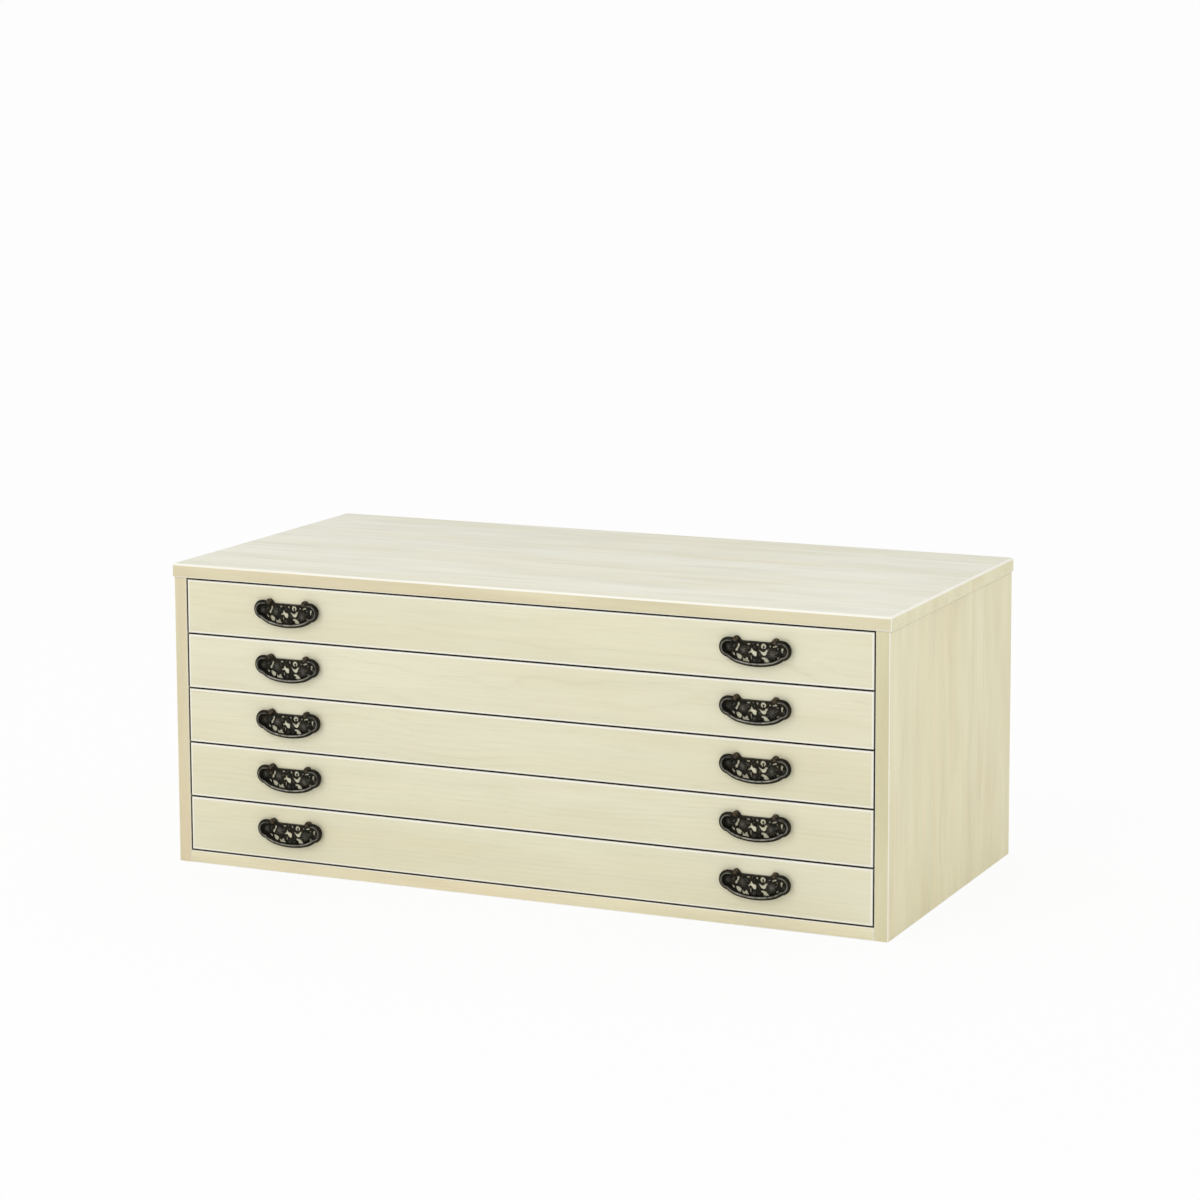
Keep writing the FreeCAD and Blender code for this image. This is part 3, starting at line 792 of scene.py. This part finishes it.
def makePlate():
    outline = plateOutline()
    body = curvePiece("plateBody", [outline], dimensions="2D", fill_mode="BOTH",
                      extrude=plate["thickness"] / 2)
    body.data.transform(Matrix.Translation((0, 0, plate["thickness"] / 2)))
    holes = [grown(inMetres(points), plate["openingGrowth"]) for points in openings]
    cutters = curvePiece("plateOpenings", holes, smooth=True, dimensions="2D", fill_mode="BOTH",
                         resolution_u=6, extrude=plate["thickness"] * 2)
    relief = [cutters]
    for x, z, radius, petals in blossoms:
        relief += makeBlossom(x, z, radius, petals)
    for x, z, length, breadth, turn in leaves:
        relief.append(mound(x * mm, z * mm, length * mm, breadth * mm, plate["leafRise"], turn))
    relief += [makeVine(inMetres(points)) for points in vines]
    for part in relief:
        part.data.transform(Matrix.Translation(plate["shift"] + Vector((0, 0, plate["thickness"]))))
    piece = joinPieces([body, makeRim(outline)] + relief[1:], "plateMaster")
    fuse(piece, plate)
    applyModifier(piece, "BOOLEAN", operation="DIFFERENCE", object=cutters, solver="EXACT")
    removePiece(cutters)
    applyModifier(piece, "DECIMATE", ratio=plate["keptShare"])
    makeActive(piece)
    bpy.ops.object.shade_smooth_by_angle(angle=plate["smoothBelow"])
    return standUp(piece)


# A raised bead along the plate's outline
def makeRim(outline):
    spokes = [point - plate["rimMiddle"] for point in outline]
    inner = [plate["rimMiddle"] + spoke * (1 - plate["rimRadius"] / spoke.length) for spoke in spokes]
    rim = curvePiece("rim", [inner], dimensions="3D", bevel_depth=plate["rimRadius"], bevel_resolution=3)
    rim.data.transform(Matrix.Translation((0, 0, plate["thickness"])))
    return rim


# A round stem that tapers from its root to its tip
def makeVine(points):
    last = len(points) - 1
    radii = [plate["vineThickness"] - plate["vineTaper"] * i / last for i in range(len(points))]
    return curvePiece("vine", [points], closed=False, smooth=True, radii=radii, dimensions="3D",
                      resolution_u=8, bevel_depth=plate["vineRadius"], bevel_resolution=3,
                      use_fill_caps=True)


def makeBlossom(x, z, radius, petals):
    size = radius * mm
    heart = size * plate["heartShare"]
    parts = [mound(x * mm, z * mm, heart, heart, plate["heartRise"], 0)]
    for fewer, reach, length, breadth, rise in petalRings:
        count = petals - fewer
        for index in range(count):
            turn = 360 / count * index + plate["petalTurn"]
            petalX = x * mm + size * reach * math.cos(math.radians(turn))
            petalZ = z * mm + size * reach * math.sin(math.radians(turn))
            parts.append(mound(petalX, petalZ, size * length, size * breadth, rise, turn))
    return parts


bail = {
    "standoff": 5.0 * mm,
    "endX": 29.5 * mm,
    "endShare": 0.85,
    # the bar runs level at the lobe's top through these places, and its section shrinks to its end
    "runX": (33.0 * mm, 31.2 * mm),
    "sectionMiddle": (2.75 * mm, 2.25 * mm),
    # how much pale rubbing and painted highlight the bar's ends and lobes keep
    "endRubHighlight": (0.2, 0.3, 0.4),
    "lobeRubHighlight": 0.5,
    "pivotRadius": 1.5 * mm,
    "pivotLength": 5.4 * mm,
    "pivotOverlap": 0.2 * mm,
    "smoothBelow": math.radians(40),
}
# The bar's profile in millimetres: how far in from the outer outline and how far out from the bar's back,
# and the share of it that is pale from rubbing and carries the painted highlight along its crest
barProfile = [
    (0.50, 0.00, 0.0), (0.10, 0.35, 0.0), (0.00, 1.00, 0.0), (0.25, 1.85, 0.0),
    (0.95, 2.70, 0.0), (1.90, 3.45, 0.0), (2.75, 4.00, 0.05), (3.35, 4.35, 0.65),
    (3.90, 4.50, 1.0), (4.40, 4.32, 0.85), (4.85, 3.80, 0.15), (5.30, 2.90, 0.0),
    (5.50, 1.90, 0.0), (5.45, 0.80, 0.0), (5.10, 0.15, 0.0), (4.60, 0.00, 0.0),
]


# How much pale rubbing and painted highlight the bar has at each of count places: most along the grip,
# where a hand takes it, less round the lobes and least at the ends
def rubHighlightShares(count):
    steps = pull["shoulderSteps"]
    half = bail["endRubHighlight"] + (bail["lobeRubHighlight"],) * pull["lobeSteps"]
    half += tuple(bail["lobeRubHighlight"] + (1 - bail["lobeRubHighlight"]) * (i + 1) / steps for i in range(steps))
    half += (1.0,) * (count // 2 - len(half))
    return half + (1.0,) + half[::-1]


# The bar's corners: each of its profile's is carried along the lobed outline at its own inset, in a row
def barRows():
    middle, middleHeight = bail["sectionMiddle"]
    rows = []
    for inset, height, _ in barProfile:
        half = lobedHalf(inset * mm)
        top = half[-1].y
        run = [Vector((x, top)) for x in bail["runX"]]
        tip = Vector((bail["endX"], top + (inset * mm - middle) * (1 - bail["endShare"])))
        tipHeight = middleHeight + (height * mm - middleHeight) * bail["endShare"]
        heights = [height * mm] * (len(half) + len(run)) + [tipHeight]
        line = bothHalves(half + run + [tip])
        rows.append([(point.x, point.y, tall) for point, tall in zip(line, heights[:0:-1] + heights)])
    return rows


def makeBar():
    rows = barRows()
    count = len(rows[0])
    corners = [corner for row in rows for corner in row]
    faces = []
    for index in range(len(rows)):
        here, after = index * count, (index + 1) % len(rows) * count
        faces += [(here + i, here + i + 1, after + i + 1, after + i) for i in range(count - 1)]
    faces.append([index * count for index in range(len(rows))])
    faces.append([index * count + count - 1 for index in range(len(rows))])
    mesh = bpy.data.meshes.new("bailMaster")
    mesh.from_pydata(corners, [], faces)
    # painted highlight along the bar's crest, standing also for rubbing
    rubbedHighlight = mesh.attributes.new("rubHighlightAmount", "FLOAT", "POINT")
    shares = rubHighlightShares(count)
    for index, (_, _, rubHighlightAmount) in enumerate(barProfile):
        for i, share in enumerate(shares):
            rubbedHighlight.data[index * count + i].value = rubHighlightAmount * share
    bar = bpy.data.objects.new("bailMaster", mesh)
    bpy.context.scene.collection.objects.link(bar)
    makeActive(bar)
    bpy.ops.object.mode_set(mode="EDIT")
    bpy.ops.mesh.select_all(action="SELECT")
    bpy.ops.mesh.normals_make_consistent(inside=False)
    bpy.ops.object.mode_set(mode="OBJECT")
    return bar


# The bar with the two pivots that turn in the posts
def makeBail():
    bar = makeBar()
    pivots = []
    out = bail["endX"] - bail["pivotLength"] / 2 + bail["pivotOverlap"]
    for side in (-1, 1):
        bpy.ops.mesh.primitive_cylinder_add(vertices=24, radius=bail["pivotRadius"],
                                            depth=bail["pivotLength"])
        pivot = bpy.context.active_object
        place = Vector((side * out, pull["axisHeight"], pull["axisDepth"] - bail["standoff"]))
        pivot.data.transform(Matrix.Translation(place) @ Matrix.Rotation(math.radians(90), 4, "Y"))
        pivots.append(pivot)
    piece = joinPieces([bar] + pivots, "bailMaster")
    bpy.ops.object.shade_smooth_by_angle(angle=bail["smoothBelow"])
    return standUp(piece, bail["standoff"])


pin = {
    "knuckleHalf": (3.4 * mm, 3.8 * mm, 4.2 * mm),
    "knucklePlace": (0, 0.8 * mm, 5.5 * mm),
    "rosetteHalf": (4.3 * mm, 4.1 * mm, 2.9 * mm),
    "rosettePlace": (0, 0.3 * mm, 1.4 * mm),
    "voxel": 0.28 * mm,
    "smoothings": 4,
    "keptShare": 0.22,
    "legWidth": 4.0 * mm,
    "legThickness": 1.2 * mm,
    "legEasing": 0.25 * mm,
    "clinchLength": 10.0 * mm,
    "clinchEndShare": 0.55,
    "frontThickness": 18.0 * mm,
    "sharp": math.radians(40),
}


# A post: a knuckle that swells out of a low domed rosette on the plate
def makePost():
    balls = []
    for part in ("knuckle", "rosette"):
        bpy.ops.mesh.primitive_uv_sphere_add(segments=32, ring_count=16, radius=1.0)
        ball = bpy.context.active_object
        stretch = Matrix.Diagonal((*pin[f"{part}Half"], 1))
        ball.data.transform(Matrix.Translation(pin[f"{part}Place"]) @ stretch)
        balls.append(ball)
    bpy.context.view_layer.objects.active = balls[1]
    bpy.ops.object.mode_set(mode="EDIT")
    bpy.ops.mesh.select_all(action="SELECT")
    bpy.ops.mesh.bisect(plane_co=(0, 0, plate["thickness"] / 2), plane_no=(0, 0, 1), use_fill=True,
                        clear_inner=True)
    bpy.ops.object.mode_set(mode="OBJECT")
    post = joinPieces(balls, "post")
    fuse(post, pin)
    applyModifier(post, "DECIMATE", ratio=pin["keptShare"])
    return post


# The two legs behind the post, one bent up and one down against the drawer front's inner face
def makeLegs():
    legs = []
    thick = pin["legThickness"]
    deep = pin["frontThickness"]
    for side in (-1, 1):
        bpy.ops.mesh.primitive_cube_add(size=1.0)
        leg = bpy.context.active_object
        stretch = Matrix.Diagonal((pin["legWidth"], thick, deep, 1))
        leg.data.transform(Matrix.Translation((0, side * thick / 2, -deep / 2)) @ stretch)
        selectFaces(leg, lambda face: face.normal.z < -facing)
        bpy.ops.mesh.extrude_region_move(TRANSFORM_OT_translate={"value": (0, 0, -thick)})
        bpy.ops.object.mode_set(mode="OBJECT")
        selectFaces(leg, lambda face: face.normal.y * side > facing and face.center.z < -deep)
        bend = (0, side * (pin["clinchLength"] - thick), 0)
        bpy.ops.mesh.extrude_region_move(TRANSFORM_OT_translate={"value": bend})
        bpy.ops.transform.resize(value=(pin["clinchEndShare"], 1, 1))
        bpy.ops.object.mode_set(mode="OBJECT")
        applyModifier(leg, "BEVEL", width=pin["legEasing"], segments=2, limit_method="ANGLE",
                      angle_limit=pin["sharp"])
        legs.append(leg)
    return legs


def makePin():
    piece = joinPieces([makePost()] + makeLegs(), "pinMaster")
    bpy.ops.object.shade_smooth_by_angle(angle=pin["sharp"])
    return standUp(piece)


print("stage: pulls")
plateMaster = makePlate()
dress(plateMaster, irons["plate"])
bailMaster = makeBail()
dress(bailMaster, irons["bail"])
pinMaster = makePin()
dress(pinMaster, irons["pin"])
masters = (plateMaster, bailMaster, pinMaster)
print("faces", *(len(master.data.polygons) for master in masters))


# The middle of a pull on its drawer's face
def pullPlace(side, level):
    low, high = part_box(f"{side}_bail_{level}")
    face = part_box(f"drawer_front_{level}")[0][1]
    return Vector(((low[0] + high[0]) / 2, face, low[2] + pull["gripDrop"]))


for level in levels:
    plates = []
    pins = []
    for side in sides:
        place = pullPlace(side, level)
        plates.append(copyPiece(plateMaster, "plate", place))
        for turn in (-1, 1):
            post = place + Vector((turn * pull["postX"], 0, pull["axisHeight"]))
            pins.append(copyPiece(pinMaster, "pin", post))
        node = f"{side}_bail_{level}"
        standFor(copyPiece(bailMaster, f"{side}Bail{level}", place), node, node)
    node = f"pull_plates_{level}"
    standFor(joinPieces(plates, f"pullPlates{level}"), node, bodyOf[node])
    node = f"pull_split_pins_{level}"
    standFor(joinPieces(pins, f"splitPins{level}"), node, bodyOf[node])
for master in masters:
    removePiece(master)


# Studio: a pale floor that reads as white, a soft key light and a plain fill all round

studio = {
    "white": (1.0, 1.0, 1.0),
    "floorSize": 30.0,
    "floorColour": (0.86, 0.86, 0.85),
    "floorWhite": 0.90,
    "floorRoughness": 0.9,
    "fill": 0.95,
    "seen": 0.982,
    "mirrored": 0.35,
    "keyPower": 26.0,
    "keySize": (1.8, 0.5),
    "keyPlace": Vector((-1.0, -3.2, 3.9)),
    "keyAim": Vector((0, 0, 0.2)),
}


# The camera sees the floor and the air as white; the light on the chest stays as it is
def seenWhite(wire):
    return wire.node("ShaderNodeLightPath", None, None, "Is Camera Ray")


def makeFloor():
    bpy.ops.mesh.primitive_plane_add(size=studio["floorSize"])
    floor = bpy.context.active_object
    floor.name = "floor"
    material, shader, wire = startMaterial("floorPaper")
    shader.inputs["Base Color"].default_value = opaque(studio["floorColour"])
    shader.inputs["Roughness"].default_value = studio["floorRoughness"]
    shader.inputs["Specular IOR Level"].default_value = 0.0
    glow = wire.node("ShaderNodeEmission", None, {"Color": opaque(studio["white"]), "Strength": 1.0})
    share = seenWhite(wire) * studio["floorWhite"]
    paper = Wire(wire.tree, shader.outputs[0])
    mixed = wire.node("ShaderNodeMixShader", None, {0: share, 1: paper, 2: glow})
    plug(wire.tree.nodes["Material Output"], "Surface", mixed)
    floor.data.materials.append(material)


def makeWorld():
    world = bpy.data.worlds.new("studioAir")
    bpy.context.scene.world = world
    world.use_nodes = True
    wire = Wire(world.node_tree)
    background = world.node_tree.nodes["Background"]
    background.inputs["Color"].default_value = opaque(studio["white"])
    glossy = wire.node("ShaderNodeLightPath", None, None, "Is Glossy Ray")
    strength = glossy * (studio["mirrored"] - studio["fill"]) + studio["fill"]
    strength = strength + seenWhite(wire) * (studio["seen"] - studio["fill"])
    plug(background, "Strength", strength)


def makeKey():
    bpy.ops.object.light_add(type="AREA", location=studio["keyPlace"])
    key = bpy.context.active_object
    key.name = "keyLight"
    key.data.shape = "RECTANGLE"
    key.data.size, key.data.size_y = studio["keySize"]
    key.data.energy = studio["keyPower"]
    aim = studio["keyAim"] - studio["keyPlace"]
    key.rotation_euler = aim.to_track_quat("-Z", "Y").to_euler()


view = {
    "place": (1867.3 * mm, -4065.3 * mm, 1144.3 * mm),
    "yaw": 24.5278,
    "pitch": -7.7018,
    "roll": -0.2387,
    "lens": 103.493,
    "sensor": 36.0,
    "shiftY": -0.12,
}


def makeCamera():
    deselectAll()
    bpy.ops.object.camera_add(location=view["place"])
    camera = bpy.context.active_object
    turn = Euler((math.radians(90 + view["pitch"]), 0, math.radians(view["yaw"]))).to_matrix()
    camera.rotation_euler = (turn @ Matrix.Rotation(math.radians(view["roll"]), 3, "Z")).to_euler()
    camera.data.lens = view["lens"]
    camera.data.sensor_width = view["sensor"]
    camera.data.shift_y = view["shiftY"]
    bpy.context.scene.camera = camera


print("stage: studio")
makeFloor()
makeWorld()
makeKey()
makeCamera()
bpy.context.scene.view_settings.view_transform = "Standard"
